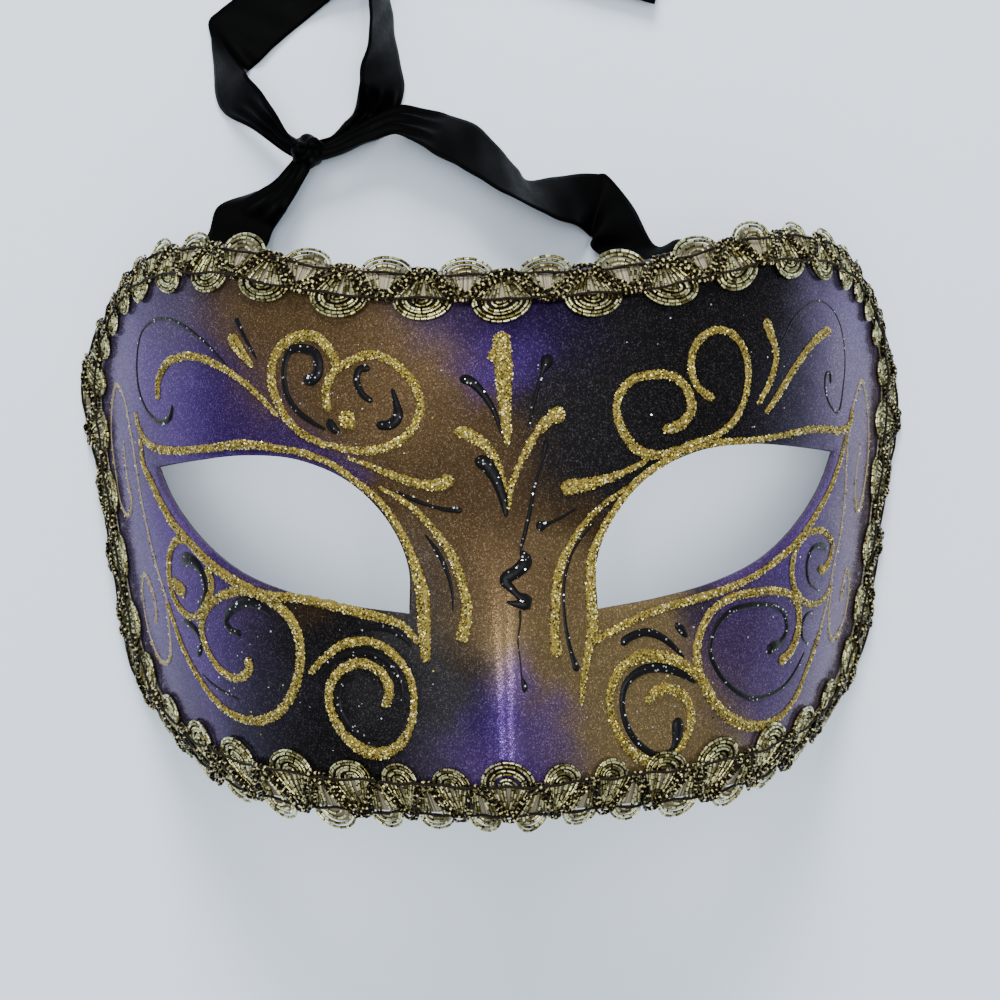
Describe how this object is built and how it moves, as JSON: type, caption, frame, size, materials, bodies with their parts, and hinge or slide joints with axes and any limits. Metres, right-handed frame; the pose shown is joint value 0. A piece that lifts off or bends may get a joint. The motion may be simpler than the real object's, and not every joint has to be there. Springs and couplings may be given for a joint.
{
  "type": "venetian eye mask",
  "caption": "Curved half-face masquerade mask with almond eye holes, a scalloped gimp braid round its edge and knotted ribbon ties",
  "frame": {"origin": "on the table under the middle of the mask, ties left out", "axes": "+X across the face to the right as seen from the front, +Y up the face to the forehead, +Z out of the face, which lies upwards"},
  "size_m": [0.1642, 0.1872, 0.0653],
  "materials": {
    "painted_shell": "airbrushed pearl paint over moulded papier mache, with raised gold glitter and black liner scrolls",
    "gold_braid": "metallic gold gimp cord with black thread",
    "black_ribbon": "black satin"
  },
  "bodies": {
    "root": {"mask_shell": "painted_shell", "edge_braid": "gold_braid", "ribbon_left_run": "black_ribbon", "ribbon_right_run": "black_ribbon", "ribbon_left_tail": "black_ribbon", "ribbon_right_tail": "black_ribbon", "ribbon_knot": "black_ribbon"}
  },
  "joints": []
}
